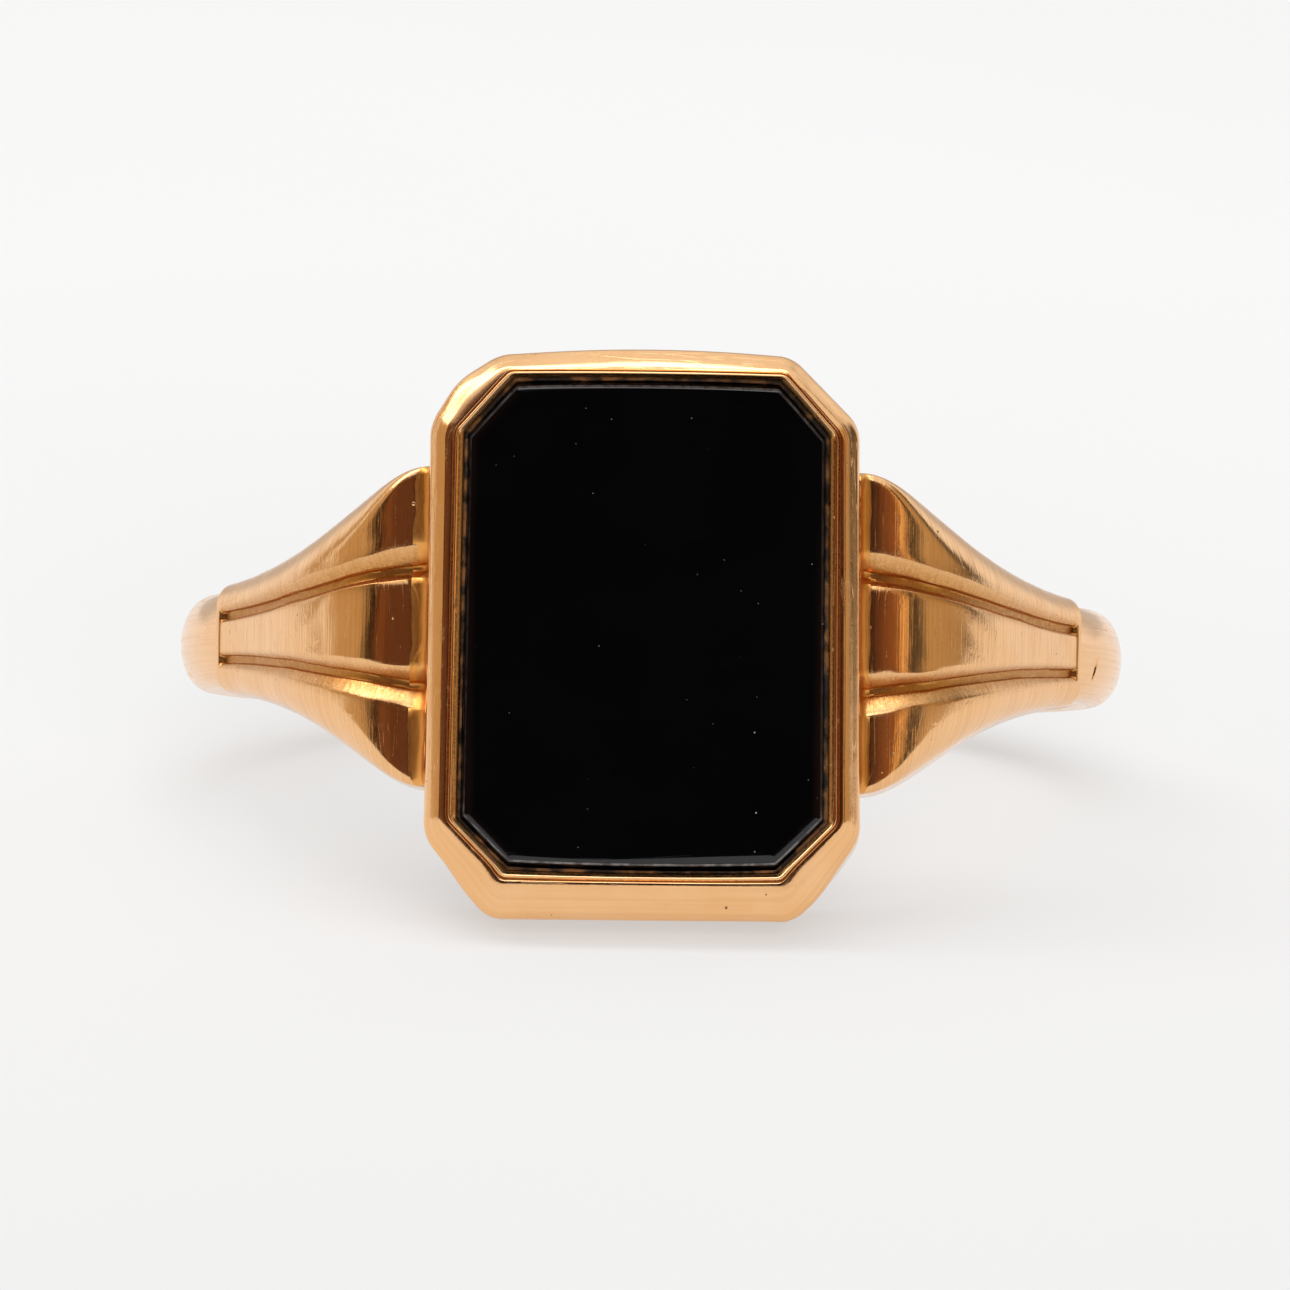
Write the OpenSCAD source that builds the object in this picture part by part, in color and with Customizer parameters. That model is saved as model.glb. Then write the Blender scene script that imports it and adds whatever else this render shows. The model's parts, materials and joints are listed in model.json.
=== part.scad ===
// Signet ring with a cut-corner onyx tablet, fluted shoulders and a half-round shank.
// It is drawn about the finger hole, whose axis is Z and whose face looks along -Y, and then
// leaned back as it lies on a table: on the lower edge of its bezel and the back of its shank.
// Millimetres. The origin is the centre of the finger hole.

/* [Finger hole and shank] */
// Diameter of the finger hole
finger_hole_d = 18.5; // [17:0.1:20]
// Thickness of the shank, from the finger to its outside
shank_thickness = 1.25; // [1:0.05:1.5]
// Width of the shank, along the finger
shank_width = 2.1; // [1.8:0.1:2.4]

/* [Bezel] */
// Width of the bezel, across the finger
bezel_width = 9.4; // [8.5:0.1:10]
// Height of the bezel, along the finger
bezel_height = 12.1; // [11:0.1:13]
// Length cut off each corner, along either side
corner_cut = 1.5; // [1.2:0.1:1.8]
// How far the upper and lower sides bow outwards
side_bow = 0.12; // [0:0.02:0.2]
// How much narrower the bezel is at its top than at its foot
side_taper = 0.2; // [0:0.02:0.2]
// Height of the rim above the finger hole, on the middle line
bezel_rise = 3.15; // [2.9:0.05:3.5]
// Thickness of the bezel's wall
wall_thickness = 0.65; // [0.5:0.05:0.8]
// How far the rim's inner lip reaches over the stone
lip_reach = 0.1; // [0.05:0.01:0.15]

/* [Stone] */
// Thickness of the stone
stone_thickness = 1.8; // [1.5:0.1:2]
// Width of the bevel round the stone's table
stone_bevel = 0.2; // [0.15:0.01:0.3]
// Depth of the table below the rim
table_depth = 0.25; // [0.2:0.01:0.3]
// Gap between the stone and the wall
setting_gap = 0.05; // [0.03:0.01:0.08]

/* [Shoulders] */
// Width of a shoulder where it meets the bezel
shoulder_width = 6.9; // [6.2:0.1:7.2]
// Width of a shoulder where it meets the shank
shoulder_end_width = 2.3; // [2.1:0.1:2.5]
// How far round the hoop a shoulder ends, from the middle of the face, in degrees
shoulder_end_angle = 65; // [62:1:68]
// Depth of the shoulder's root behind the rim
shoulder_setback = 1.2; // [1:0.05:1.4]
// Depth of the grooves beside the bezel
groove_depth = 0.4; // [0.2:0.05:0.45]

/* [Hidden] */
$fn = 96;

gold = "#d9a05c";
solder = "#c99a3c";
onyx = "#0b0b0c";
cement = "#3a2a18";

// Finger hole and hoop
hole_r = finger_hole_d / 2;
hoop_r = hole_r + shank_thickness;
cutter_height = 2 * bezel_height;

// Bezel, from the rim at the front to the finger hole
rim_y = -hole_r - bezel_rise;
lip_height = 0.22;
corner_radius = 0.35;
corner_steps = 3;
bow_steps = 6;
rim_rings = [[0, 0.46], [0.07, 0.32], [0.18, 0.16], [0.32, 0.04], [0.46, 0]];  // depth, inset

// Stone, its bed and what it stands on
table_y = rim_y + table_depth;
girdle_y = table_y + 0.14;
stone_back_y = table_y + stone_thickness;
edge_chamfer = 0.15;
table_step = 0.01;
cement_thickness = 0.12;
seat_width = 0.6;
plate_thickness = 0.5;
window_width = 4.6;
window_height = 7.2;
window_cut = 1.1;

// Shoulders
root_x = (bezel_width - side_taper / 2) / 2;
root_y = rim_y + shoulder_setback;
end_x = hoop_r * sin(shoulder_end_angle);
end_y = -hoop_r * cos(shoulder_end_angle);
curve_steps = 14;
groove_root_z = 1.35;
groove_end_z = 0.5;
groove_root_half = 0.34;
groove_end_half = 0.08;
groove_end_depth = 0.12;
groove_lift = 0.3;         // the groove's cutter stands this far out of the surface
cross_groove_width = 0.14;
cross_groove_depth = 0.1;
cross_groove_angle = shoulder_end_angle - 1.2;
seam_size = 0.3;
seam_edge = 0.03;            // thickness of the solder at the fillet's two edges

// How it lies: the lower corners of the bezel's back edge and the shank's lower edge at the back
foot_x = bezel_width / 2 - corner_cut;
foot_y = -sqrt(hole_r * hole_r - foot_x * foot_x);
foot_z = bezel_height / 2 - side_bow;
heel_y = hole_r + 0.6 * shank_thickness;
lean = atan((foot_z - shank_width / 2) / (heel_y - foot_y));

function lerp(a, b, t) = a + (b - a) * t;

// Point at t on the cubic Bezier curve through the corners p
function bezier(p, t) =
    pow(1 - t, 3) * p[0] + 3 * t * pow(1 - t, 2) * p[1] + 3 * t * t * (1 - t) * p[2]
    + pow(t, 3) * p[3];

// Points of an arc about c, from angle a0 to a1
function arc(c, r, a0, a1) =
    [for (i = [0 : corner_steps])
        let (a = lerp(a0, a1, i / corner_steps)) c + r * [cos(a), sin(a)]];

// Points along the bowed upper side (dir 1, right to left) or lower side (dir -1, left to right)
function bowed_side(half, z, bow, dir) =
    [for (i = [1 : bow_steps - 1])
        let (u = 1 - 2 * i / bow_steps) dir * [half * u, z + bow * (1 - u * u)]];

// An outline narrowed towards its top, and widest at the bezel's foot
function tapered(points) =
    [for (p = points)
        [p[0] * (1 - side_taper / bezel_width * (0.5 + p[1] / bezel_height)), p[1]]];

// The bezel's outline, moved inwards by inset: a rectangle with cut, rounded corners
function outline(inset) =
    let (r = max(corner_radius - inset, 0.05),
         x = bezel_width / 2 - inset - r,
         z = bezel_height / 2 - side_bow - inset - r,
         cut = corner_cut - (inset + r) * (2 - sqrt(2)))
    tapered(concat(
        arc([x, z - cut], r, 0, 45),
        arc([x - cut, z], r, 45, 90),
        bowed_side(x - cut, z + r, side_bow, 1),
        arc([cut - x, z], r, 90, 135),
        arc([-x, z - cut], r, 135, 180),
        arc([-x, cut - z], r, 180, 225),
        arc([cut - x, -z], r, 225, 270),
        bowed_side(x - cut, z + r, side_bow, -1),
        arc([x - cut, -z], r, 270, 315),
        arc([x, cut - z], r, 315, 360)));

// A flat outline in X and Z made solid from the depth y_front to the depth y_back
module between(y_front, y_back) {
    translate([0, y_back, 0])
        rotate([90, 0, 0])
            linear_extrude(height = y_back - y_front)
                children();
}

// The bezel's outline as a solid whose inset changes with depth: rings are [y, inset]
module lofted(rings) {
    count = len(outline(0));
    last = len(rings) - 1;
    points = [for (ring = rings) for (p = outline(ring[1])) [p[0], ring[0], p[1]]];
    sides = [for (k = [0 : last - 1]) for (i = [0 : count - 1])
        let (j = (i + 1) % count)
        [k * count + i, k * count + j, (k + 1) * count + j, (k + 1) * count + i]];
    front = [for (i = [0 : count - 1]) count - 1 - i];
    back = [for (i = [0 : count - 1]) last * count + i];
    polyhedron(points, concat([front], sides, [back]));
}

// A cylinder about the finger hole's axis
module about_finger(r) {
    cylinder(r = r, h = cutter_height, center = true);
}

// Leaned back, as the ring lies on a table
module lying() {
    rotate([-lean, 0, 0])
        children();
}

// Half-round section of the shank: flat to the finger, with softened edges
function shank_section() =
    let (r_side = hole_r + 0.45 * shank_thickness,
         rise = 0.55 * shank_thickness,
         half = shank_width / 2)
    concat(
        [[hole_r, half - edge_chamfer], [hole_r, edge_chamfer - half],
         [hole_r + edge_chamfer, -half]],
        [for (a = [-90 : 15 : 90]) [r_side + rise * cos(a), half * sin(a)]],
        [[hole_r + edge_chamfer, half]]);

module shank() {
    color(gold)
        lying()
            rotate([0, 0, shoulder_end_angle - 90])
                rotate_extrude(angle = 360 - 2 * shoulder_end_angle)
                    polygon(shank_section());
}

// Outer curve of a shoulder, seen along the finger, from the bezel to the shank
function shoulder_profile(t) =
    bezier([[root_x, root_y],
            [root_x + 2.5, root_y],
            [end_x - 4 * cos(shoulder_end_angle), end_y - 4 * sin(shoulder_end_angle)],
            [end_x, end_y]], t);

// Half of the shoulder's width, seen from the front, from the bezel to the shank
function shoulder_edge(t) =
    bezier([[root_x, shoulder_width / 2],
            [lerp(root_x, end_x, 0.26), shoulder_width / 2],
            [lerp(root_x, end_x, 0.46), shoulder_end_width / 2 + 0.25],
            [end_x, shoulder_end_width / 2]], t);

// Height of a groove's middle line above the middle of the shoulder
function groove_path(t) = bezier([groove_root_z, 1.05, 0.55, groove_end_z], t);

// What the bezel's outline takes up, down to the finger
module bezel_space() {
    between(rim_y - 1, 0)
        polygon(outline(0));
}

// A shoulder without its grooves. It starts inside the bezel's space, which then trims it
module shoulder_blank() {
    steps = [for (i = [0 : curve_steps]) i / curve_steps];
    inner_end = (hole_r - 1) * [sin(shoulder_end_angle), -cos(shoulder_end_angle)];
    inside_x = root_x - side_taper;
    half = shoulder_width / 2;
    difference() {
        intersection() {
            linear_extrude(height = shoulder_width + 1, center = true)
                polygon(concat([[inside_x, root_y]],
                               [for (t = steps) shoulder_profile(t)],
                               [inner_end, [inside_x, -hole_r * 0.5]]));
            between(-hoop_r - bezel_rise, 0)
                polygon(concat([[inside_x, -half], [inside_x, half]],
                               [for (t = steps) shoulder_edge(t)],
                               [for (t = steps) let (p = shoulder_edge(1 - t)) [p[0], -p[1]]]));
        }
        about_finger(hole_r);
        bezel_space();
    }
}

// Cutter of one V groove: a triangle carried along the shoulder's outer curve
module groove_cutter() {
    rings = [for (i = [-1 : curve_steps + 1])
        let (t = i / curve_steps,
             p = shoulder_profile(t),
             d = shoulder_profile(t + 0.01) - p,
             out = [d[1], -d[0]] / norm(d),
             z = groove_path(t),
             half = lerp(groove_root_half, groove_end_half, t),
             depth = lerp(groove_depth, groove_end_depth, t),
             wide = half * (depth + groove_lift) / depth,
             low = p - depth * out,
             high = p + groove_lift * out)
        [[low[0], low[1], z], [high[0], high[1], z + wide], [high[0], high[1], z - wide]]];
    last = len(rings) - 1;
    sides = [for (k = [0 : last - 1]) for (i = [0 : 2])
        let (j = (i + 1) % 3)
        [3 * k + j, 3 * k + i, 3 * k + 3 + i, 3 * k + 3 + j]];
    polyhedron([for (ring = rings) for (p = ring) p],
               concat([[0, 1, 2]], sides, [[3 * last + 2, 3 * last + 1, 3 * last]]));
}

module shoulder() {
    difference() {
        shoulder_blank();
        for (side = [0, 1])
            mirror([0, 0, side])
                groove_cutter();
        rotate([0, 0, cross_groove_angle - 90])
            translate([hoop_r + 1 - cross_groove_depth, 0, 0])
                cube([2, cross_groove_width, shoulder_width], center = true);
    }
}

module right_shoulder() {
    color(gold)
        lying()
            shoulder();
}

module left_shoulder() {
    color(gold)
        lying()
            mirror([1, 0, 0])
                shoulder();
}

// Fillet of solder in the corner between the bezel's side wall and a shoulder, hollow in front
module solder_seam() {
    hollow = [for (a = [270 : -15 : 180])
        seam_size * [1, 1] + (seam_size - seam_edge) * [cos(a), sin(a)]];
    difference() {
        translate([root_x, root_y, -shoulder_width / 2])
            mirror([0, 1, 0])
                linear_extrude(height = shoulder_width)
                    polygon(concat([[-side_taper, 0], [seam_size, 0]], hollow,
                                   [[-side_taper, seam_size]]));
        bezel_space();
    }
}

module right_solder_seam() {
    color(solder)
        lying()
            solder_seam();
}

module left_solder_seam() {
    color(solder)
        lying()
            mirror([1, 0, 0])
                solder_seam();
}

// Outer wall with its rounded rim and the lip over the stone's edge
module bezel_wall() {
    color(gold)
        lying()
            difference() {
                lofted(concat([for (ring = rim_rings) [rim_y + ring[0], ring[1]]],
                              [[0, 0]]));
                between(rim_y + lip_height, 1)
                    polygon(outline(wall_thickness));
                between(rim_y - 1, rim_y + lip_height + 1)
                    polygon(outline(wall_thickness + lip_reach));
                about_finger(hole_r);
            }
}

// Inner bearing strip: the ledge under the stone's edge
module stone_seat() {
    color(gold)
        lying()
            difference() {
                between(stone_back_y + cement_thickness, 0)
                    polygon(outline(wall_thickness));
                between(rim_y, 1)
                    polygon(outline(wall_thickness + seat_width));
                about_finger(hole_r + plate_thickness);
            }
}

// Under-plate, curved with the finger hole, with a window behind the stone
module base_plate() {
    x = window_width / 2;
    z = window_height / 2;
    color(gold)
        lying()
            difference() {
                intersection() {
                    between(rim_y, 0)
                        polygon(outline(wall_thickness));
                    about_finger(hole_r + plate_thickness);
                }
                about_finger(hole_r);
                between(rim_y, 0)
                    polygon([[x, z - window_cut], [x - window_cut, z], [window_cut - x, z],
                             [-x, z - window_cut], [-x, window_cut - z], [window_cut - x, -z],
                             [x - window_cut, -z], [x, window_cut - z]]);
            }
}

// Bed of setting cement between the ledge and the stone
module stone_cement() {
    color(cement)
        lying()
            difference() {
                between(stone_back_y, stone_back_y + cement_thickness)
                    polygon(outline(wall_thickness));
                between(rim_y, 0)
                    polygon(outline(wall_thickness + seat_width));
            }
}

// Flat polished tablet with a bevelled edge. The table is one plane, a hair before the bevel
module onyx_tablet() {
    edge = wall_thickness + setting_gap;
    color(onyx)
        lying()
            union() {
                between(table_y, girdle_y)
                    polygon(outline(edge + stone_bevel));
                lofted([[table_y + table_step, edge + stone_bevel], [girdle_y, edge],
                        [stone_back_y - edge_chamfer, edge],
                        [stone_back_y, edge + edge_chamfer]]);
            }
}

shank();
left_shoulder();
right_shoulder();
left_solder_seam();
right_solder_seam();
bezel_wall();
stone_seat();
base_plate();
stone_cement();
onyx_tablet();
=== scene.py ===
"""Looks of the signet ring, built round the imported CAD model.

Shapes are worked out in the hoop's own frame, in millimetres: the finger hole's axis is Z, the
stone faces -Y and X runs across the ring. to_row() leans them back, as the ring lies on a table,
and turns them into the row frame's metres. Sizes come from the CAD nodes.
"""

import json
import math

import bpy
import numpy as np
from mathutils import Matrix, Vector


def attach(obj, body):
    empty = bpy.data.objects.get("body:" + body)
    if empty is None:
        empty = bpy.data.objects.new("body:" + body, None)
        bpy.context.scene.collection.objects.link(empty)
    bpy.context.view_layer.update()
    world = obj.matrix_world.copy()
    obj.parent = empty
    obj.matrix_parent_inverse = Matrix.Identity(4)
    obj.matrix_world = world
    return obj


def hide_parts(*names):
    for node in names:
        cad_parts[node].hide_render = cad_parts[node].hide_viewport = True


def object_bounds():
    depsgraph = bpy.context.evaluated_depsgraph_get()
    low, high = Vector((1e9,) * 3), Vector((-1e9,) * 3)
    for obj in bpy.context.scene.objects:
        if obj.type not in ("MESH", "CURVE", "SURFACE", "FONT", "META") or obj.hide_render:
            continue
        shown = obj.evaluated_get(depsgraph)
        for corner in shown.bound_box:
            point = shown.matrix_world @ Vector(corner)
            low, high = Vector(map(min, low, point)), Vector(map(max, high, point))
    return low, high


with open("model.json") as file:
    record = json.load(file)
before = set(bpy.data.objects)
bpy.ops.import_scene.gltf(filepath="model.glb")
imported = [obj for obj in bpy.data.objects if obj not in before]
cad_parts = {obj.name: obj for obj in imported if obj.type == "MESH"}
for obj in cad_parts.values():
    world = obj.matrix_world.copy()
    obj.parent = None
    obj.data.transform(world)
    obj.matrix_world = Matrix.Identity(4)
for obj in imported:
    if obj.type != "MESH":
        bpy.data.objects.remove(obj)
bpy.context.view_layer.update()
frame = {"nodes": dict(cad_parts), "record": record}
MM = 0.001
SHARP_ANGLE = math.radians(50)


# ---------------------------------------------------------------- the hoop's frame and its sizes

def mount(name):
    """A mount of the part's record."""
    return next(m for m in frame["record"]["mounts"] if m["name"] == name)


HOLE_AXIS = mount("finger_hole")["axis"]
LEAN = math.atan2(HOLE_AXIS[1], HOLE_AXIS[2])


def to_row(points):
    """Points of the hoop's frame, in millimetres, as points of the row frame, in metres."""
    x, y, z = np.asarray(points, float).reshape(-1, 3).T
    c, s = math.cos(LEAN), math.sin(LEAN)
    return np.stack([x, y * c + z * s, z * c - y * s], axis=1) * MM


def to_hoop(points):
    """The other way round."""
    x, y, z = np.asarray(points, float).reshape(-1, 3).T / MM
    c, s = math.cos(LEAN), math.sin(LEAN)
    return np.stack([x, y * c - z * s, z * c + y * s], axis=1)


def hoop_box(node):
    """Lowest and highest corners of a CAD node in the hoop's frame, in millimetres."""
    points = to_hoop([v.co for v in frame["nodes"][node].data.vertices])
    return points.min(0), points.max(0)


HOLE_R = mount("finger_hole")["dims"]["r_mm"]
BEZEL_LOW, BEZEL_HIGH = hoop_box("bezel_wall")
STONE_LOW, STONE_HIGH = hoop_box("onyx_tablet")
SHANK_LOW, SHANK_HIGH = hoop_box("shank")
SHOULDER_LOW, SHOULDER_HIGH = hoop_box("right_shoulder")

# Bezel: the sizes that its box doesn't give are those of the CAD
BEZEL_W = BEZEL_HIGH[0] - BEZEL_LOW[0]
BEZEL_H = BEZEL_HIGH[2] - BEZEL_LOW[2]
RIM_Y = BEZEL_LOW[1]
CORNER_CUT = 1.5
SIDE_BOW = 0.12
SIDE_TAPER = 0.2
WALL = 0.65
# Stone
TABLE_Y = STONE_LOW[1]
STONE_BACK_Y = STONE_HIGH[1]
STONE_INSET = 0.7
STONE_BEVEL = 0.2
# Shank and shoulders
HOOP_R = SHANK_HIGH[0]
SHANK_T = HOOP_R - HOLE_R
SHANK_W = SHANK_HIGH[2] - SHANK_LOW[2]
ROOT_X = SHOULDER_LOW[0]
ROOT_Y = SHOULDER_LOW[1]
ROOT_HALF = SHOULDER_HIGH[2]
END_X = SHOULDER_HIGH[0]
END_ANGLE = math.asin(END_X / HOOP_R)
END_Y = -HOOP_R * math.cos(END_ANGLE)
END_HALF = 1.15
# The plate under the stone, and its window
PLATE_T = 0.5
WINDOW_W = 4.6
WINDOW_H = 7.2
WINDOW_CUT = 1.1


# ---------------------------------------------------------------- small helpers

def lerp(a, b, t):
    """a at 0, b at 1, and straight between."""
    return a + (b - a) * t


def smooth(a, b, x):
    """0 below a, 1 above b, and a smooth step between."""
    t = np.clip((np.asarray(x, float) - a) / (b - a), 0, 1)
    return t * t * (3 - 2 * t)


def bezier(corners, t):
    """Points on the cubic Bezier curve through these corners, one for each t."""
    t = np.asarray(t, float)[..., None]
    a, b, c, d = [np.asarray(p, float) for p in corners]
    return (1 - t) ** 3 * a + 3 * t * (1 - t) ** 2 * b + 3 * t * t * (1 - t) * c + t ** 3 * d


def wander(seed, waves, x):
    """A smooth irregular value of about -1 to 1 along x, made of a few sine waves."""
    rng = np.random.default_rng(seed)
    value = np.zeros_like(np.asarray(x, float))
    for k in range(waves):
        value += math.exp(-0.35 * k) * np.sin((k + 1) * np.asarray(x) + rng.uniform(0, 2 * math.pi))
    return value / 2


def facing_out(points, faces, uvs):
    """The same closed shape with its faces turned so that they face outwards."""
    points = np.asarray(points)
    volume = 0.0
    for face in faces:
        for k in range(1, len(face) - 1):
            volume += np.dot(points[face[0]], np.cross(points[face[k]], points[face[k + 1]]))
    if volume >= 0:
        return list(faces), list(uvs)
    turned, turned_uvs, at = [], [], 0
    for face in faces:
        turned.append(tuple(face[::-1]))
        turned_uvs += uvs[at:at + len(face)][::-1]
        at += len(face)
    return turned, turned_uvs


def new_piece(name, parts, material, node, painted_light_and_wear=None):
    """One mesh piece from closed shapes in the hoop's frame, each as ring_stack() gives it.

    The last argument gives, for each point from 0 to 1, the painted shade on gold pieces, and the
    wear and painted reflection on the stone's edge.
    """
    all_points, all_faces, all_uvs = [], [], []
    for points, faces, uvs in parts:
        faces, uvs = facing_out(points, faces, uvs)
        start = len(all_points)
        all_points += np.asarray(points).tolist()
        all_faces += [tuple(i + start for i in face) for face in faces]
        all_uvs += uvs
    mesh = bpy.data.meshes.new(name)
    mesh.from_pydata(to_row(all_points).tolist(), [], all_faces)
    layer = mesh.uv_layers.new(name="flow")
    layer.data.foreach_set("uv", np.asarray(all_uvs, np.float32).ravel())
    if painted_light_and_wear is not None:
        layer = mesh.attributes.new("painted_light_and_wear", "FLOAT", "POINT")
        layer.data.foreach_set("value", np.asarray(painted_light_and_wear, np.float32).ravel())
    mesh.update()
    mesh.shade_smooth()
    mesh.set_sharp_from_angle(angle=SHARP_ANGLE)
    mesh.materials.append(material)
    piece = bpy.data.objects.new(name, mesh)
    bpy.context.scene.collection.objects.link(piece)
    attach(piece, "root")
    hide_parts(node)
    return piece


def ring_stack(rings, closed, across_first=False):
    """Points, faces and flow uvs of rings of equal length, each joined to the next.

    closed joins the last to the first; otherwise the first and last are capped with one face.
    The first uv runs along the rings, or from ring to ring with across_first.
    """
    rings = np.asarray(rings, float)
    count, size = rings.shape[:2]
    step = np.linalg.norm(np.roll(rings[0], -1, 0) - rings[0], axis=1)
    along = np.concatenate([[0], np.cumsum(step)])
    across = np.concatenate([[0], np.cumsum(np.linalg.norm(
        np.diff(np.concatenate([rings, rings[:1]]), axis=0), axis=2).mean(1))])
    faces, uvs = [], []
    for r in range(count if closed else count - 1):
        s = (r + 1) % count
        for c in range(size):
            d = (c + 1) % size
            faces.append((r * size + c, r * size + d, s * size + d, s * size + c))
            uvs += [(along[c], across[r]), (along[c + 1], across[r]),
                    (along[c + 1], across[r + 1]), (along[c], across[r + 1])]
    if not closed:
        faces.append(tuple(range(size))[::-1])
        uvs += [(rings[0][c][0], rings[0][c][2]) for c in range(size)][::-1]
        faces.append(tuple((count - 1) * size + c for c in range(size)))
        uvs += [(rings[-1][c][0], rings[-1][c][2]) for c in range(size)]
    if across_first:
        uvs = [(v, u) for u, v in uvs]
    return rings.reshape(-1, 3), faces, uvs


# ---------------------------------------------------------------- the bezel's outline

ARC_STEPS = 7
SIDE_STEP = 0.11                   # between points along a side
OUTER_ROUNDING = .8                # radius of the corners outside
INNER_ROUNDING = .1                # and at FULL_INSET
FULL_INSET = .75
LEAST_RADIUS = .06
# How the bezel isn't quite true
OUTER_TURN, INNER_TURN = .5, .25   # degrees about the way it faces
INNER_SHIFT = np.array([.035, .065])
LIP_RISE = .03                     # of the upper lip
CORNER_WAYS = np.array([(1, 1), (-1, 1), (-1, -1), (1, -1)])
CORNER_WEAR = (.0, .2, .09, .15)   # how far wear has rounded each outer corner
WEAR_REACH = .72                   # along the corner


def outline(inset, width=BEZEL_W, height=BEZEL_H, cut=CORNER_CUT, bow=SIDE_BOW, taper=SIDE_TAPER,
            radius=None, end_inset=None, by_hand=True):
    """X and Z along the cut-corner outline, moved inwards by inset: anticlockwise from the right.

    end_inset is for the top and bottom, if it differs. by_hand adds how the bezel isn't quite true.
    """
    if radius is None:
        r = lerp(OUTER_ROUNDING, INNER_ROUNDING, min(inset / FULL_INSET, 1))
    else:
        r = max(radius - inset, LEAST_RADIUS)
    end_inset = inset if end_inset is None else end_inset
    x = width / 2 - inset - r
    z = height / 2 - bow - end_inset - r
    c = cut - (lerp(inset, end_inset, .5) + r) * (2 - math.sqrt(2))
    centres = [(x, z - c), (x - c, z), (c - x, z), (-x, z - c),
               (-x, c - z), (c - x, -z), (x - c, -z), (x, c - z)]
    points = []
    for k, (cx, cz) in enumerate(centres):
        angles = np.radians(45 * k + 45 * np.arange(ARC_STEPS + 1) / ARC_STEPS)
        arc = np.stack([cx + r * np.cos(angles), cz + r * np.sin(angles)], 1)
        nx, nz = centres[(k + 1) % 8]
        after = np.array([nx + r * math.cos(angles[-1]), nz + r * math.sin(angles[-1])])
        t = np.arange(1, SIDE_STEPS[k])[:, None] / SIDE_STEPS[k]
        side = arc[-1] + (after - arc[-1]) * t
        if k in (1, 5):
            side[:, 1] += (bow if k == 1 else -bow) * (1 - (1 - 2 * t[:, 0]) ** 2)
        points += [arc, side]
    points = np.concatenate(points)
    points[:, 0] *= 1 - taper / width * (0.5 + points[:, 1] / height)
    if by_hand:
        far = float(smooth(0, .5, inset))
        # Only the outer edge bows at the top and bottom: the lip and the stone are straighter.
        x, z = points.T
        bowed = 1 - np.clip(np.abs(x) / (width / 2 - cut), 0, 1) ** 2
        straighter = np.where(z > 0, bow * (1 - bowed) + LIP_RISE, .8 * bow * bowed)
        points[:, 1] += far * np.clip((np.abs(z) - height / 2 + 2) / 1.25, 0, 1) * straighter
        turn = math.radians(lerp(OUTER_TURN, INNER_TURN, far))
        points = points + turn * points[:, ::-1] * [-1, 1]
        points += far * INNER_SHIFT
        for way, fuller in zip(CORNER_WAYS, CORNER_WEAR):
            middle = way * np.array([width - cut, height - 2 * bow - cut]) / 2
            along = (points - middle) @ (way * [1, -1])[:, None] / math.sqrt(2)
            at = ((points * way) > 0).all(1)[:, None]
            push = (1 - far) * at * fuller * np.exp(-(along / WEAR_REACH) ** 2)
            points = points + push * way / math.sqrt(2)
    return points


def end_share():
    """For each point of the outline: 0 on the long sides, 1 at the top and bottom."""
    share = []
    for k in range(8):
        a = (45 * k + 45 * np.arange(ARC_STEPS + 1) / ARC_STEPS) % 180
        side = 1 - abs((45 * (k + 1)) % 180 - 90) / 90
        share += [1 - np.abs(a - 90) / 90, np.full(SIDE_STEPS[k] - 1, side)]
    return np.concatenate(share)


def side_steps(k):
    """How many steps side k of the outline takes, after its corner."""
    length = {1: BEZEL_W - 2 * CORNER_CUT, 3: BEZEL_H - 2 * CORNER_CUT}.get(k % 4)
    return max(6, round((length or CORNER_CUT * math.sqrt(2)) / SIDE_STEP))


SIDE_STEPS = [side_steps(k) for k in range(8)]


def outline_ring(inset, y, **shape):
    """The outline at depth y: a number, one for each point, or a function of x."""
    flat = outline(inset, **shape)
    depth = y(flat[:, 0]) if callable(y) else np.broadcast_to(y, len(flat))
    return np.stack([flat[:, 0], depth, flat[:, 1]], 1)


def round_finger(radius):
    """The depth of a cylinder of this radius about the finger hole's axis, at each x."""
    return lambda x: -np.sqrt(radius ** 2 - x ** 2)


# ---------------------------------------------------------------- bezel, stone, bed and plate

# The rim's section as (inset, depth): on the long sides, where it has a flat top, and at the
# top and bottom. It goes over the slope, into the step line and out again, and over the lip.
RIM = [((0, .62), (0, .62)), ((.003, .56), (.003, .56)), ((.013, .505), (.014, .51)),
       ((.032, .455), (.036, .462)), ((.06, .407), (.07, .415)), ((.095, .358), (.115, .362)),
       ((.135, .305), (.17, .308)), ((.175, .253), (.228, .256)), ((.215, .202), (.288, .205)),
       ((.255, .155), (.348, .158)), ((.295, .115), (.405, .116)), ((.33, .087), (.455, .084)),
       ((.362, .07), (.497, .062)), ((.395, .062), (.525, .052)), ((.43, .057), (.543, .048)),
       ((.462, .056), (.556, .05)), ((.476, .064), (.565, .058)), ((.486, .078), (.573, .075)),
       ((.493, .082), (.58, .082)), ((.501, .072), (.588, .07)), ((.511, .042), (.598, .042)),
       ((.521, .017), (.608, .018)), ((.533, .003), (.62, .004)), ((.545, 0), (.631, 0)),
       ((.558, .004), (.642, .008)), ((.578, .013), (.652, .03)), ((.602, .027), (.663, .068)),
       ((.628, .043), (.674, .114)), ((.652, .06), (.685, .16)), ((.674, .08), (.694, .2)),
       ((.69, .106), (.701, .234)), ((.7, .14), (.705, .255)), ((.703, .2), (.705, .272)),
       ((.697, .26), (.7, .29)), ((.683, .296), (.69, .302)), ((.666, .308), (.672, .308)),
       ((.652, .318), (.655, .318))]
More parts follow.
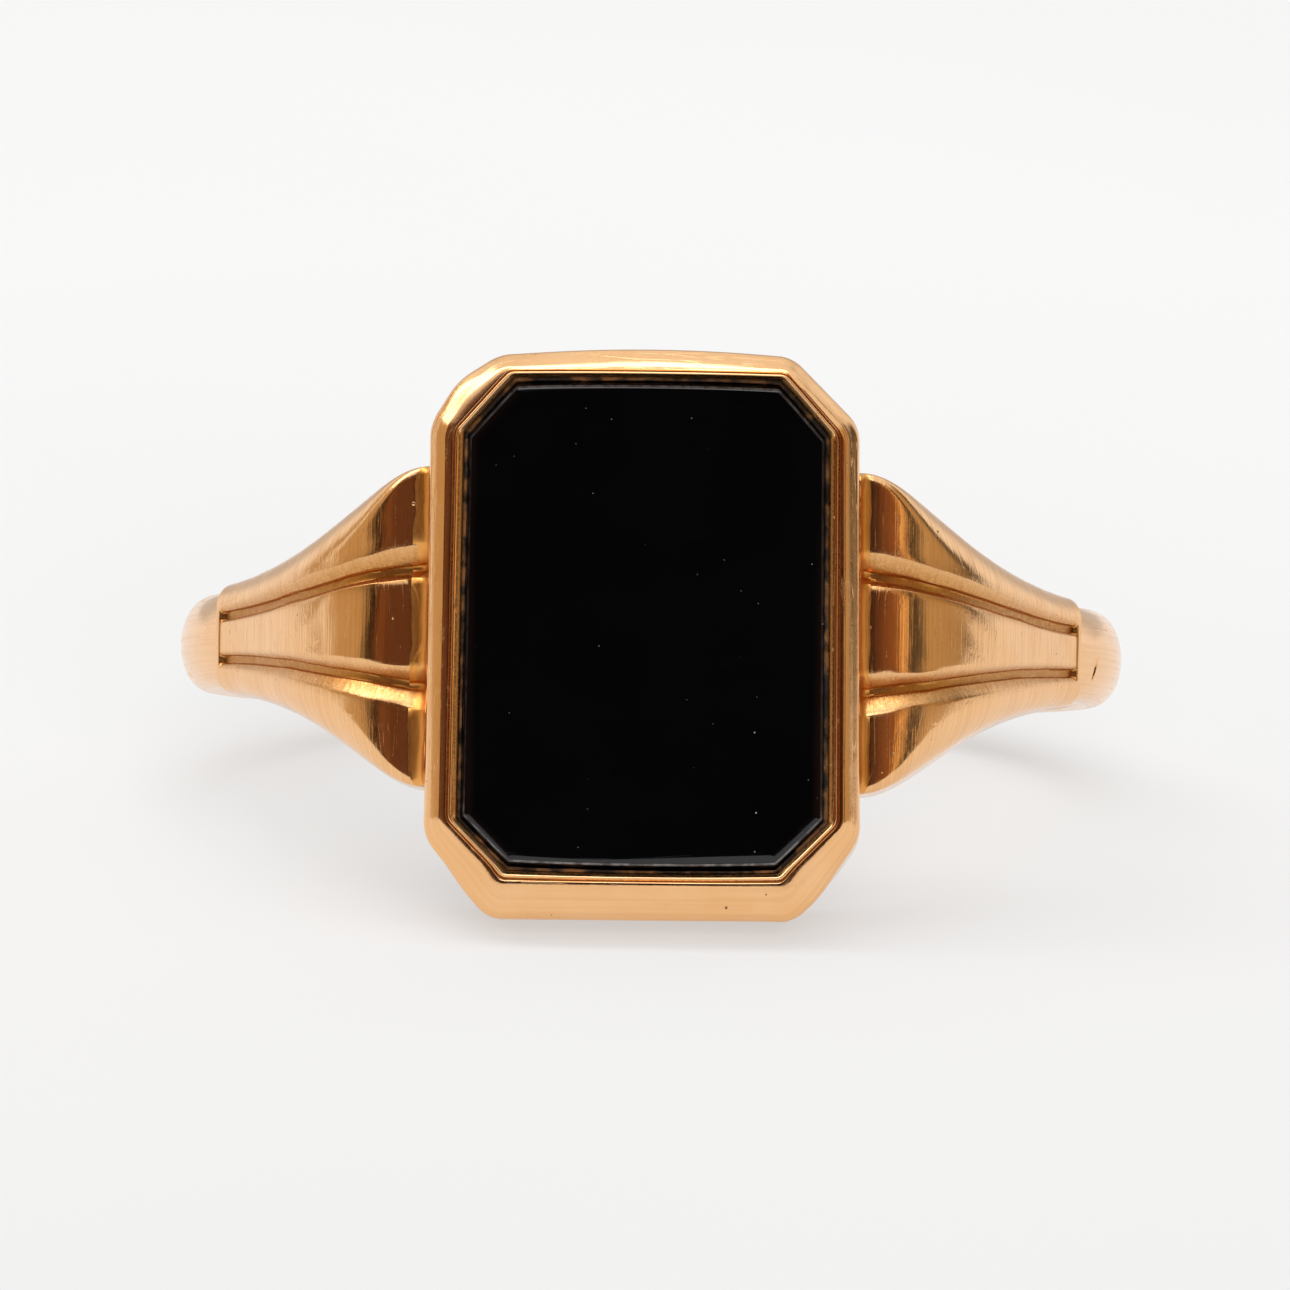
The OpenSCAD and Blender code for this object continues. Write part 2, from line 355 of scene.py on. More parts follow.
RIM_WANDER = .006    # how uneven the rim is
FACET_WANDER = .0045
FRONT_FULLER = .15   # how much the foot of the front is fuller than the CAD's


def make_bezel(material):
    """The wall: polished outer slope, step line, inner lip, and a back edge cut to the finger."""
    share = end_share()
    back = [(.33, 0), (.08, 0), (.035, .012), (.01, .038), (0, .08)]
    rings = [outline_ring(i, round_finger(HOLE_R + s)) for i, s in back]
    start, stop = rings[-1], outline_ring(0, RIM_Y + .6)
    rings += [lerp(start, stop, t) for t in np.linspace(0, 1, 9)[1:-1]]
    first = len(rings)
    rings += [outline_ring(i, RIM_Y + lerp(d, dz, share), end_inset=iz)
              for (i, d), (iz, dz) in RIM]
    start, stop = outline_ring(WALL, RIM_Y + .33), outline_ring(WALL, round_finger(HOLE_R + .05))
    rings += [lerp(start, stop, t) for t in np.linspace(0, 1, 5)]
    rings += [outline_ring(WALL - i, round_finger(HOLE_R + s)) for i, s in [(.014, .014), (.05, 0)]]
    rings = np.array(rings)
    # The rim isn't quite even: its slope and lip wander a little round the bezel.
    count = rings.shape[1]
    turn = np.arange(count) / count * 2 * math.pi
    depth = rings[:, :, 1] - RIM_Y
    near = 1 - smooth(.3, .6, depth)
    rings[:, :, 1] += near * RIM_WANDER * (1 + wander(3, 22, turn))
    # Burnishing has left long uneven facets on the slope.
    for k in range(len(RIM)):
        ring = rings[first + k]
        if RIM[k][0][0] < .45:
            calm = 1 - .75 * smooth(3.8, 5.4, -ring[:, 2])
            ring[:, 1] += FACET_WANDER * calm * wander(100 + k // 2, 40, turn)
            ring[:, [0, 2]] *= 1 - .0004 * (1 + wander(140 + k // 2, 30, turn))[:, None]
    depth = rings[:, :, 1] - RIM_Y
    # The foot of the front is fuller, most at its ends.
    to_end = np.clip(np.abs(rings[:, :, 0]) / (BEZEL_W / 2 - CORNER_CUT), 0, 1)
    fuller = FRONT_FULLER + FRONT_FULLER * to_end ** 2
    rings[:, :, 2] -= fuller * smooth(5.0, 5.8, -rings[:, :, 2]) * (1 - smooth(.25, 3, depth))
    # Painted shade: the step line and the lip's inner slope down to the stone are painted darker.
    painted_shade = np.zeros(rings.shape[:2])
    for k, ((i, d), _) in enumerate(RIM):
        in_step = .48 < i < .5 and d > .07
        painted_shade[first + k] = .7 if in_step else .75 * float(smooth(.57, .66, i))
    # Painted shade: the wall inside, under the lip, is painted quite brown.
    painted_shade[first + len(RIM) - 5:] = 1
    return new_piece("bezel", [ring_stack(rings, True)], material, "bezel_wall", painted_shade)


def make_stone(material):
    """The tablet: a flat table, a narrow edge rounded by wear, and steep sides that go down under
    the lip.
    """
    edge = STONE_INSET
    table = edge + STONE_BEVEL - .035
    back = STONE_BACK_Y - TABLE_Y
    section = [(table + .3, 0), (table + .02, 0), (table + .004, .002), (table - .008, .008),
               (table - .022, .018), (table - .036, .030), (table - .048, .048),
               (table - .060, .08), (table - .074, .15), (edge + .03, .28), (edge, .34),
               (edge, back - .15), (edge + .03, back - .06), (edge + .1, back), (edge + .4, back)]
    rings = []
    for i, d in section:
        end_inset = i + .06 * float(smooth(edge, table, i))
        rings.append(outline_ring(i, TABLE_Y + d, end_inset=end_inset))
    rings = np.array(rings)
    turn = np.arange(rings.shape[1]) / rings.shape[1] * 2 * math.pi
    for k in range(2, 7):
        rings[k, :, 1] += .004 * (1 + wander(60 + k, 90, turn))
    # The edge is worn and duller, and greyer as a painted reflection: more at the top, and most at
    # the bottom.
    edge_wear_and_reflection = np.zeros(rings.shape[:2])
    edge_rings = slice(3, 6)
    z = rings[edge_rings, :, 2]
    edge_wear_and_reflection[edge_rings] = .12 + .2 * smooth(3.6, 4.8, z) + .83 * smooth(3.2, 4.7, -z)
    return new_piece("onyx", [ring_stack(rings, False)], material, "onyx_tablet", edge_wear_and_reflection)


def make_cement(material):
    """The bed under the stone's edge, and the grit that shows in the crevice round the stone."""
    bed = [outline_ring(i, y) for i, y in [
        (WALL + .02, STONE_BACK_Y + .11), (WALL + .02, STONE_BACK_Y + .01),
        (WALL + .55, STONE_BACK_Y + .01), (WALL + .55, STONE_BACK_Y + .11)]]
    count = len(bed[0])
    turn = np.arange(count) / count * 2 * math.pi
    # The bead is thicker and stands higher low down.
    low = smooth(-.2, .9, -np.sin(turn - .35))
    size = .045 + .03 * low + .03 * wander(11, 60, turn) + .012 * wander(12, 90, 2 * turn)
    size = np.clip(size, .02, .1)
    rng = np.random.default_rng(5)
    flat = outline(STONE_INSET + .035)
    way = (outline(STONE_INSET + .135) - flat) / .1
    bead = []
    for a in np.radians(np.arange(0, 360, 45)):
        ring = np.zeros((count, 3))
        rough = size * rng.uniform(.92, 1.08, count)
        ring[:, [0, 2]] = flat + way * (rough * math.cos(a))[:, None]
        ring[:, 1] = TABLE_Y + .2 - .03 * low + rough * math.sin(a)
        bead.append(ring)
    shapes = [ring_stack(bed, True), ring_stack(bead, True)]
    return new_piece("cement", shapes, material, "stone_cement")


def make_plate(material):
    """The plate that closes the bezel against the finger, with eased edges round its window."""
    window = dict(width=WINDOW_W, height=WINDOW_H, cut=WINDOW_CUT, bow=0, taper=0, radius=.2,
                  by_hand=False)
    rings = []

    def sheet(radius, start, stop):
        a, b = outline(WALL + .01), outline(0, **window)
        for t in np.linspace(start, stop, 8):
            flat = lerp(a, b, t)
            rings.append(np.stack([flat[:, 0], round_finger(radius)(flat[:, 0]), flat[:, 1]], 1))

    sheet(HOLE_R, .012, .975)
    for i, s in [(-.02, .012), (-.004, .035), (0, .07), (0, PLATE_T - .06), (-.02, PLATE_T - .015)]:
        rings.append(outline_ring(i, round_finger(HOLE_R + s), **window))
    sheet(HOLE_R + PLATE_T, .975, 0)
    rings.append(outline_ring(WALL + .01, round_finger(HOLE_R + .04)))
    return new_piece("plate", [ring_stack(rings, True)], material, "base_plate")


# ---------------------------------------------------------------- shank

NICK_ANGLE = 70.4   # degrees round from the bezel
NICK_Z = -.36
NICK_DEPTH, NICK_HALF_WIDTH, NICK_HALF_HEIGHT = .13, .055, .16
SHANK_SIDE = .45    # how far up its thickness the band is widest
SHANK_SOFT = .2     # radius of its inner edges
SHANK_WANDER = .012


def make_shank(material):
    """The band: half round outside, flat inside with eased edges, and a nick at its right."""
    half = SHANK_W / 2
    r_side, rise, soft = HOLE_R + SHANK_SIDE * SHANK_T, (1 - SHANK_SIDE) * SHANK_T, SHANK_SOFT
    section = []
    for a in np.radians(np.linspace(-90, 90, 41)):
        section.append((r_side + rise * math.cos(a), half * math.sin(a)))
    section.append((lerp(r_side, HOLE_R + soft, .5), half))
    for a in np.radians(np.linspace(0, 90, 8)):
        section.append((HOLE_R + soft - soft * math.sin(a), half - soft + soft * math.cos(a)))
    for t in np.linspace(0, 1, 9)[1:-1]:
        section.append((HOLE_R, (half - soft) * (1 - 2 * t)))
    for a in np.radians(np.linspace(90, 0, 8)):
        section.append((HOLE_R + soft - soft * math.sin(a), -half + soft - soft * math.cos(a)))
    section.append((lerp(r_side, HOLE_R + soft, .5), -half))
    section = np.array(section)
    end = math.degrees(END_ANGLE)
    angles = np.unique(np.round(np.concatenate([
        np.linspace(end, 360 - end, 240), np.linspace(NICK_ANGLE - .8, NICK_ANGLE + .8, 40)]), 4))
    rings = []
    for angle in angles:
        a = math.radians(angle)
        r, z = section[:, 0].copy(), section[:, 1]
        out = smooth(r_side - .1, r_side + .25, r)
        r -= out * SHANK_WANDER * (1 + wander(21, 26, a + .5 * z))
        if abs(angle - NICK_ANGLE) < 1.5:
            away = (angle - NICK_ANGLE) * math.pi / 180 * HOOP_R
            shape = (away / NICK_HALF_WIDTH) ** 4 + ((z - NICK_Z) / NICK_HALF_HEIGHT) ** 4
            r -= NICK_DEPTH * np.exp(-shape)
        rings.append(np.stack([r * math.sin(a), -r * math.cos(a), z], 1))
    return new_piece("shank", [ring_stack(rings, False, True)], material, "shank")


# ---------------------------------------------------------------- shoulders and their solder

def profile(t):
    """The outer curve in X and Y, from the bezel at 0 to the shank at 1, and its outward way."""
    corners = [(ROOT_X, ROOT_Y), (ROOT_X + 2.5, ROOT_Y),
               (END_X - 4 * math.cos(END_ANGLE), END_Y - 4 * math.sin(END_ANGLE)), (END_X, END_Y)]
    t = np.clip(t, 0, 1)
    p = bezier(corners, t)
    d = bezier(corners, np.minimum(t + .002, 1.002)) - bezier(corners, t - .002)
    d /= np.linalg.norm(d)
    return p, np.array([d[1], -d[0]])


EDGE_T = np.linspace(0, 1, 400)
EDGE_CURVE = bezier([(ROOT_X, ROOT_HALF), (lerp(ROOT_X, END_X, .26), ROOT_HALF),
                     (lerp(ROOT_X, END_X, .46), END_HALF + .25), (END_X, END_HALF)], EDGE_T)


def half_width(x):
    """Half of the shoulder's width at x, seen from the front."""
    return np.interp(x, EDGE_CURVE[:, 0], EDGE_CURVE[:, 1])


def groove_z(t):
    """Height of a groove's middle above the shoulder's, at t."""
    return float(bezier(GROOVE_HEIGHTS, t)[0])


GROOVE_HEIGHTS = [(1.27,), (1.06,), (.57,), (.47,)]   # of its curve's corners
GROOVE_WANDER = .012
FLANK_DEPTH = .30, .05    # at the bezel and at the shank
CHANNEL_DEPTH = .1, .08   # below the flanks, in the same way
CHANNEL = .088            # half the width of the channel cut in a groove
CHANNEL_EDGE = .014       # its sides fall over twice this width
CROSS_DEPTH = .026        # of the line across the shoulder
CROWN = .3                # how far the shoulder's edges fall back
FILED = .014              # how uneven the shoulder is
LIFT = .06                # the shoulders sit this much above the middle of the bezel
ROLL_STEPS = 12           # lines along a shoulder's rounded edge


def flank_widths(t):
    """Widths of the slopes beside a groove: outer lobe, then the middle one above and below."""
    return lerp(.46, .1, t ** .8), lerp(.15, .07, t ** .8), lerp(.32, .08, t ** .8)


def roll_width(t, h, g):
    """Width of the rounded edge at t, where the shoulder's half width is h and the groove at g."""
    return min(.16 + .5 * float(smooth(0, .3, t)), .5 * (h - g)) + .1 * float(smooth(.8, 1, t))


def shoulder_lanes(t, h):
    """Heights of the lines along a shoulder at t, from the top edge to the bottom."""
    g = groove_z(t)
    outer, upper, lower = flank_widths(t)
    high, low = g + CHANNEL, g - CHANNEL
    lanes = []
    for inner in (upper, lower):
        roll = min(h - roll_width(t, h, g), h - .02)
        foot = max(low - inner, .05)
        stops = [(h, roll, ROLL_STEPS), (roll, high + outer, 9),
                 (high + outer, high + CHANNEL_EDGE, 11),
                 (high + CHANNEL_EDGE, high - CHANNEL_EDGE, 3),
                 (high - CHANNEL_EDGE, low + CHANNEL_EDGE, 4),
                 (low + CHANNEL_EDGE, low - CHANNEL_EDGE, 3),
                 (low - CHANNEL_EDGE, foot, 9), (foot, 0, 7)]
        half = []
        for a, b, n in stops:
            s = np.arange(n) / n
            if n == ROLL_STEPS:
                s = 1 - np.cos(s * math.pi / 2)
            half += list(lerp(a, b, s))
        lanes.append(np.array(half))
    return np.concatenate([lanes[0], [0], -lanes[1][::-1]])


def shoulder_drop(t, z, h, seed, beyond=0.0):
    """How far below the outer curve the surface lies: rolled edges, lobes, flanks and grooves.

    beyond is 1 past the line across the shoulder where the grooves end.
    """
    a = np.abs(z)
    up = z > 0
    g = groove_z(t) + GROOVE_WANDER * wander(seed, 9, 6 * t) * np.where(up, 1, -1)
    outer, upper, lower = flank_widths(t)
    flank = np.where(a > g, outer, np.where(up, upper, lower))
    flank = flank * (1 + .1 * wander(seed + 1, 14, 9 * t + 2 * up))
    deep = lerp(*FLANK_DEPTH, t ** .6)
    roll = roll_width(t, h, groove_z(t))
    edge = np.clip((a - (h - roll)) / roll, 0, 1)
    drop = .8 * roll * (1 - np.sqrt(np.clip(1 - edge ** 2, 0, 1)))
    away = np.abs(a - g)
    near = np.clip(1 - (away - CHANNEL) / flank, 0, 1)
    # A straight slope from 0 to 1 whose foot is rounded.
    slope = (np.sqrt(near ** 2 + .02) - .1414) / (1.01 - .1414)
    cut = 1 - smooth(CHANNEL - CHANNEL_EDGE, CHANNEL + CHANNEL_EDGE, away)
    groove = deep * slope + lerp(*CHANNEL_DEPTH, t) * cut
    drop = drop + groove * (1 - beyond)
    # The whole shoulder is a little crowned, and was filed by hand.
    drop += CROWN * float(smooth(.05, .5, t)) * (z / 3.4) ** 2
    filed = FILED * float(smooth(0, .25, t)) * (1 - float(smooth(.9, 1, t)))
    drop += filed * (1 + wander(seed + 2, 6, 5 * t + 1.3 * z))
    return drop


CROSS_ANGLE = math.degrees(END_ANGLE) - 1.2   # where the line across the shoulder is
INNER_STEPS = 13                              # points across the face on the finger
INNER_SOFT = .12                              # how eased that face's edges are


def make_shoulder(name, side, seed, material):
    """A fluted shoulder: the outer face, its two edges, and the face on the finger."""
    # One step inside the bezel, and then closer ones where the grooves end.
    ts = np.concatenate([[-.01], np.linspace(0, .9, 90), np.linspace(.9, 1, 60)[1:]])
    rings, painted_shade = [], []
    for t in ts:
        p, n = profile(t)
        if t < 0:
            p = p - np.array([.12, 0])
        t = max(t, 0)
        h = float(half_width(p[0]))
        z = shoulder_lanes(t, h)
        angle = math.degrees(math.atan2(p[0], -p[1]))
        away = math.radians(angle - CROSS_ANGLE) * HOOP_R
        past = float(smooth(-.03, .03, away))
        drop = shoulder_drop(t, z, h, seed, past)
        cross = (1 - float(smooth(.015, .05, abs(away)))) * (1 - smooth(.56, .64, np.abs(z)))
        drop = drop + CROSS_DEPTH * cross
        # Painted shade fills the channels, thins out beside them on the flanks, and lies in the
        # line and at the bezel.
        gap = np.abs(np.abs(z) - groove_z(t))
        inside = 1 - smooth(CHANNEL, CHANNEL + .03, gap)
        reach = np.where(np.abs(z) > groove_z(t), lerp(.75, .15, t), lerp(.4, .1, t))
        beside = .8 * (1 - smooth(CHANNEL, CHANNEL + reach, gap))
        # Painted shade in the corner against the bezel.
        root = .55 * (1 - float(smooth(0, .035, t)))
        top = np.maximum.reduce([np.maximum(inside, beside) * (1 - past), .9 * cross,
                                 np.full(len(z), root)])
        outer = p[None] - n[None] * drop[:, None]
        z_out = z + np.sign(z) * (half_width(outer[:, 0]) - h) * smooth(.6, 1, np.abs(z) / h)
        turn = lerp(math.asin(min(p[0], ROOT_X) / HOLE_R), END_ANGLE, t)
        q = np.array([HOLE_R * math.sin(turn), -HOLE_R * math.cos(turn)])
        hq = float(half_width(q[0]))
        loop = [np.stack([outer[:, 0], outer[:, 1], z_out], 1)]
        low, high = loop[0][-1], loop[0][0]
        way = (q - low[:2]) / np.linalg.norm(q - low[:2])
        last = q - way * INNER_SOFT

        def wall(start, sign):
            s = np.linspace(0, 1, 8)[1:]
            xy = start[None, :2] + (last - start[:2])[None] * s[:, None]
            zz = sign * half_width(xy[:, 0])
            return np.column_stack([xy, zz])

        down = wall(low, -1)
        inner_z = np.linspace(-(hq - INNER_SOFT), hq - INNER_SOFT, INNER_STEPS)
        corner_low = np.array([[*(q - way * INNER_SOFT * .3), -(hq - INNER_SOFT * .3)]])
        corner_high = corner_low * [1, 1, -1]
        inner = np.column_stack([np.full(INNER_STEPS, q[0]), np.full(INNER_STEPS, q[1]), inner_z])
        loop += [down, corner_low, inner, corner_high, wall(high, 1)[::-1]]
        rings.append(np.concatenate(loop))
        painted_shade.append(np.concatenate([top, np.zeros(len(rings[-1]) - len(top))]))
    rings = np.array(rings)
    rings[:, :, 0] *= side
    rings[:, :, 2] += LIFT * (1 - smooth(ROOT_X, END_X, np.abs(rings[:, :, 0])))
    name += "_shoulder"
    return new_piece(name, [ring_stack(rings, False)], material, name, painted_shade)


def make_seam(name, side, width, seed, material):
    """A hollow fillet of solder in the corner between the bezel and the shoulder's lobes."""
    half = ROOT_HALF - .03
    lanes = shoulder_lanes(0, half)
    drop = shoulder_drop(0, lanes, ROOT_HALF, seed)
    soft = np.convolve(np.pad(drop, 4, "edge"), np.ones(9) / 9, "valid")
    rings = []
    for z, d in zip(lanes, lerp(drop, soft, .5)):
        # The fillet thins out at its two ends.
        end = math.sqrt(max(1 - (max(abs(z) - half + .3, 0) / .32) ** 2, 0))
        wall_x = BEZEL_W / 2 * (1 - SIDE_TAPER / BEZEL_W * (.5 + z / BEZEL_H))
        w = width * (.25 + .75 * end) * (1 + .09 * float(wander(seed + 5, 9, 2.2 * z)))
        rise = (.12 + .22 * end) * (1 + .2 * float(wander(seed + 6, 11, 2.9 * z)))
        y = ROOT_Y + d - .012
        arc = np.radians(np.linspace(270, 180, 12))
        loop = [(wall_x + w + w * math.cos(a), y - rise - rise * math.sin(a), z) for a in arc]
        loop += [(wall_x - .06, y - rise, z), (wall_x - .06, y + .08, z), (wall_x + w, y + .08, z)]
        rings.append(loop)
    rings = np.array(rings)
    rings[:, :, 0] *= side
    rings[:, :, 2] += LIFT
    shape = ring_stack(rings, False, True)
    return new_piece(name + "_solder", [shape], material, name + "_solder_seam")


# ---------------------------------------------------------------- materials

def link_in(tree, kind, settings=None, **inputs):
    """Add a node. Its inputs are numbers, colours or other nodes' sockets.

    They are named as in Blender, with _ for a space, or i0, i1 and so on by number.
    """
    made = tree.nodes.new(kind)
    for key, value in (settings or {}).items():
        setattr(made, key, value)
    for key, value in inputs.items():
        numbered = key[0] == "i" and key[1:].isdigit()
        socket = made.inputs[int(key[1:]) if numbered else key.replace("_", " ")]
        if isinstance(value, bpy.types.NodeSocket):
            tree.links.new(value, socket)
        else:
            socket.default_value = value
    return made


MIX_A, MIX_B, MIX_RESULT = 6, 7, 2   # a Mix node's sockets for colours


class Graph:
    """Short names for the few nodes that the materials here are made of."""

    def __init__(self, name):
        self.material = bpy.data.materials.new(name)
        self.material.use_nodes = True
        self.tree = self.material.node_tree
        self.shader = next(n for n in self.tree.nodes if n.type == "BSDF_PRINCIPLED")
        place = link_in(self.tree, "ShaderNodeTexCoord")
        self.space = link_in(self.tree, "ShaderNodeMapping", Vector=place.outputs["Object"],
                             Scale=(1000, 1000, 1000)).outputs[0]
        self.flow = link_in(self.tree, "ShaderNodeUVMap", {"uv_map": "flow"}).outputs[0]

    def noise(self, scale, detail=2.0, stretch=None, turn=0.0, on=None, shift=0.0):
        """Noise from 0 to 1 over the object's millimetres, or over other coordinates."""
        where = on or self.space
        if stretch:
            where = link_in(self.tree, "ShaderNodeMapping", Vector=where, Scale=(*stretch, 1),
                            Rotation=(0, 0, turn), Location=(shift, shift, 0)).outputs[0]
        return link_in(self.tree, "ShaderNodeTexNoise", Vector=where, Scale=scale,
                       Detail=detail).outputs["Fac"]

    def math(self, operation, a, b=0.0, clamp=False):
        return link_in(self.tree, "ShaderNodeMath", {"operation": operation, "use_clamp": clamp},
                       i0=a, i1=b).outputs[0]

    def map(self, value, a, b, to_a, to_b):
        """to_a where the value is a or less, to_b where it is b or more, and eased between."""
        return link_in(self.tree, "ShaderNodeMapRange", {"interpolation_type": "SMOOTHSTEP"},
                       Value=value, From_Min=a, From_Max=b, To_Min=to_a, To_Max=to_b).outputs[0]

    def mix(self, factor, a, b):
        """The colour a, or b where the factor is 1."""
        made = link_in(self.tree, "ShaderNodeMix", {"data_type": "RGBA"}, Factor=factor)
        for socket, value in ((made.inputs[MIX_A], a), (made.inputs[MIX_B], b)):
            if isinstance(value, bpy.types.NodeSocket):
                self.tree.links.new(value, socket)
            else:
                socket.default_value = (*value, 1)
        return made.outputs[MIX_RESULT]

    def sum(self, *values):
        total = values[0]
        for value in values[1:]:
            total = self.math("ADD", total, value)
        return total

    def scratches(self, width, scale, stretch, turn, shift, on=None):
        """1 along thin broken lines, 0 elsewhere."""
        waves = self.noise(scale, 1, stretch, turn, on or self.flow, shift)
        line = self.map(self.math("ABSOLUTE", self.math("SUBTRACT", waves, .5)), 0, width, 1, 0)
        broken = self.map(self.noise(.9, 2, (1, 1), 0, on or self.flow, shift + 7), .5, .58, 0, 1)
        return self.math("MULTIPLY", line, broken)

    def pits(self, scale, size, share):
        """1 in small round pits, in a share of the cells, 0 elsewhere."""
        cell = link_in(self.tree, "ShaderNodeTexVoronoi", Vector=self.space, Scale=scale)
        hole = self.map(cell.outputs["Distance"], size * .35, size, 1, 0)
        pick = link_in(self.tree, "ShaderNodeSeparateColor", Color=cell.outputs["Color"]).outputs[0]
        return self.math("MULTIPLY", hole, self.map(pick, share, share + .01, 1, 0))

    def finish(self, color, roughness, height, strength=1.0, **constants):
        """The material. height is its bump in mm, and constants go on the shader's own sockets."""
        self.tree.links.new(color, self.shader.inputs["Base Color"])
        self.tree.links.new(roughness, self.shader.inputs["Roughness"])
        bump = link_in(self.tree, "ShaderNodeBump", Height=height, Strength=strength, Distance=MM)
        self.tree.links.new(bump.outputs[0], self.shader.inputs["Normal"])
        for key, value in constants.items():
            self.shader.inputs[key.replace("_", " ")].default_value = value
        return self.material


# Colour of the patina, and of the painted shade in hollows and corners.
PATINA_AND_PAINTED_SHADE = (.55, .24, .05)
LINE_TINT = (.60, .28, .09)   # of the polishing lines
PIT = (.10, .045, .014)
ONYX = (.0001, .0002, .0004), (.0003, .0005, .0008)
DUST = (.16, .165, .175)
# Grey of the stone's worn edge, partly a painted reflection.
ONYX_WEAR_AND_REFLECTION = (.10, .10, .105)
CEMENT = (.008, .004, .002), (.10, .04, .011)
GRAIN = (.30, .16, .05)
TABLE = (.247, .247, .246), (.256, .255, .254)


def gold_material(name, light, warm, rough, wave, streak, dull=0.0):
    """Worn gold. dull is how much patina it has all over, besides the painted shade that the mesh
    carries.
    """
    g = Graph(name)
    tone = g.noise(.9, 3)
    flow_lines = g.noise(1, 3, (.22, 13), .03, g.flow)
    flow_fine = g.noise(1, 2, (.6, 40), -.02, g.flow, 5)
    speck = g.noise(15, 3)
    # Painted shade from the mesh, and the patina all over, mottled by specks.
    painted_light_and_wear = link_in(g.tree, "ShaderNodeAttribute", {"attribute_name": "painted_light_and_wear"}).outputs["Fac"]
    painted_light_and_wear = g.math("MULTIPLY", g.math("ADD", painted_light_and_wear, dull), g.map(speck, .3, .62, .8, 1.08), True)
    scratch = g.math("MAXIMUM", g.scratches(.012, .55, (.35, 5), .5, 2),
                     g.scratches(.012, .5, (.3, 4.5), -.9, 11))
    scratch = g.math("MAXIMUM", scratch, g.scratches(.015, .6, (.4, 4), 1.7, 23))
    pits = g.math("MAXIMUM", g.pits(1.6, .07, .14), g.pits(3.7, .1, .12))
    color = g.mix(g.map(tone, .3, .7, 0, 1), light, warm)
    color = g.mix(g.map(flow_lines, .36, .6, .085 * streak, 0), color, LINE_TINT)
    color = g.mix(g.math("MULTIPLY", pits, .8), color, PIT)
    # The painted shade and the patina darken the colour.
    color = g.mix(painted_light_and_wear, color, PATINA_AND_PAINTED_SHADE)
    roughness = g.sum(g.map(flow_lines, .3, .7, rough + .05, rough - .03),
                      g.math("MULTIPLY", scratch, .12), g.math("MULTIPLY", pits, .25),
                      g.map(speck, .35, .65, 0, .05), g.math("MULTIPLY", painted_light_and_wear, .22))
    height = g.sum(g.math("MULTIPLY", g.noise(1.0, 2), wave),
                   g.math("MULTIPLY", flow_lines, .0012 * streak),
                   g.math("MULTIPLY", flow_fine, .0005 * streak),
                   g.math("MULTIPLY", speck, .0009),
                   g.math("MULTIPLY", g.math("MULTIPLY", speck, painted_light_and_wear), .003),
                   g.math("MULTIPLY", scratch, -.0015),
                   g.math("MULTIPLY", pits, -.013))
    return g.finish(color, roughness, height, Metallic=1.0)


def onyx_material():
    """Black stone with faint scratches and dust. Its edge is worn and duller, and greyer as a
    painted reflection.
    """
    g = Graph("polished onyx")
    flat = link_in(g.tree, "ShaderNodeMapping", Vector=g.space,
                   Rotation=(-math.pi / 2, 0, 0)).outputs[0]
    scratch = g.math("MAXIMUM", g.scratches(.006, .5, (.5, 4), .4, 3, flat),
                     g.scratches(.006, .45, (.4, 4.4), -1.1, 17, flat))
    specks = g.math("MAXIMUM", g.pits(2.1, .05, .22), g.pits(5.3, .07, .10))
    color = g.mix(g.map(g.noise(.5, 3), .35, .7, 0, 1), *ONYX)
    color = g.mix(g.math("MULTIPLY", specks, .8), color, DUST)
    # The worn edge, with its grey painted reflection.
    edge = link_in(g.tree, "ShaderNodeAttribute", {"attribute_name": "painted_light_and_wear"}).outputs["Fac"]
    edge = g.math("MULTIPLY", edge, g.map(g.noise(5, 3), .35, .62, .3, 1))
    color = g.mix(edge, color, ONYX_WEAR_AND_REFLECTION)
    roughness = g.sum(g.math("MULTIPLY", edge, .25), g.map(g.noise(1.2, 3), .3, .7, .045, .085),
                      g.math("MULTIPLY", scratch, .1), g.math("MULTIPLY", specks, .4))
    height = g.sum(g.math("MULTIPLY", scratch, -.0002), g.math("MULTIPLY", specks, .002),
                   g.math("MULTIPLY", g.noise(.6, 2), .0012))
    return g.finish(color, roughness, height, IOR=1.54)


def cement_material():
    """Dark brown cement with a few lighter grains."""
    g = Graph("setting cement")
    color = g.mix(g.map(g.noise(2.6, 5), .42, .66, 0, 1), *CEMENT)
    color = g.mix(g.math("MULTIPLY", g.pits(13, .25, .12), .7), color, GRAIN)
    roughness = g.map(g.noise(14, 2), .3, .7, .5, .8)
    return g.finish(color, roughness, g.math("MULTIPLY", g.noise(16, 3), .02))


def floor_material():
    """A lit table, which shines a little more at the back, and more far out. Distances in mm."""
    g = Graph("pale floor")
    color = g.mix(g.map(g.noise(.02, 2), .3, .7, 0, 1), *TABLE)
    roughness = g.map(g.noise(.05, 2), .3, .7, .9, 1)
    depth = link_in(g.tree, "ShaderNodeSeparateXYZ", Vector=g.space).outputs[1]
    away = link_in(g.tree, "ShaderNodeVectorMath", {"operation": "LENGTH"}, i0=g.space)
    glow = g.sum(g.map(depth, -60, 80, FLOOR_GLOW * .87, FLOOR_GLOW * 1.04),
                 g.map(away.outputs["Value"], 100, 1100, 0, FAR_GLOW))
    g.tree.links.new(glow, g.shader.inputs["Emission Strength"])
    g.finish(color, roughness, g.noise(.05, 0), 0.0, Specular_IOR_Level=0.0)
    g.shader.inputs["Emission Color"].default_value = (1, 1, 1, 1)
    return g.material


# ---------------------------------------------------------------- light, floor and camera

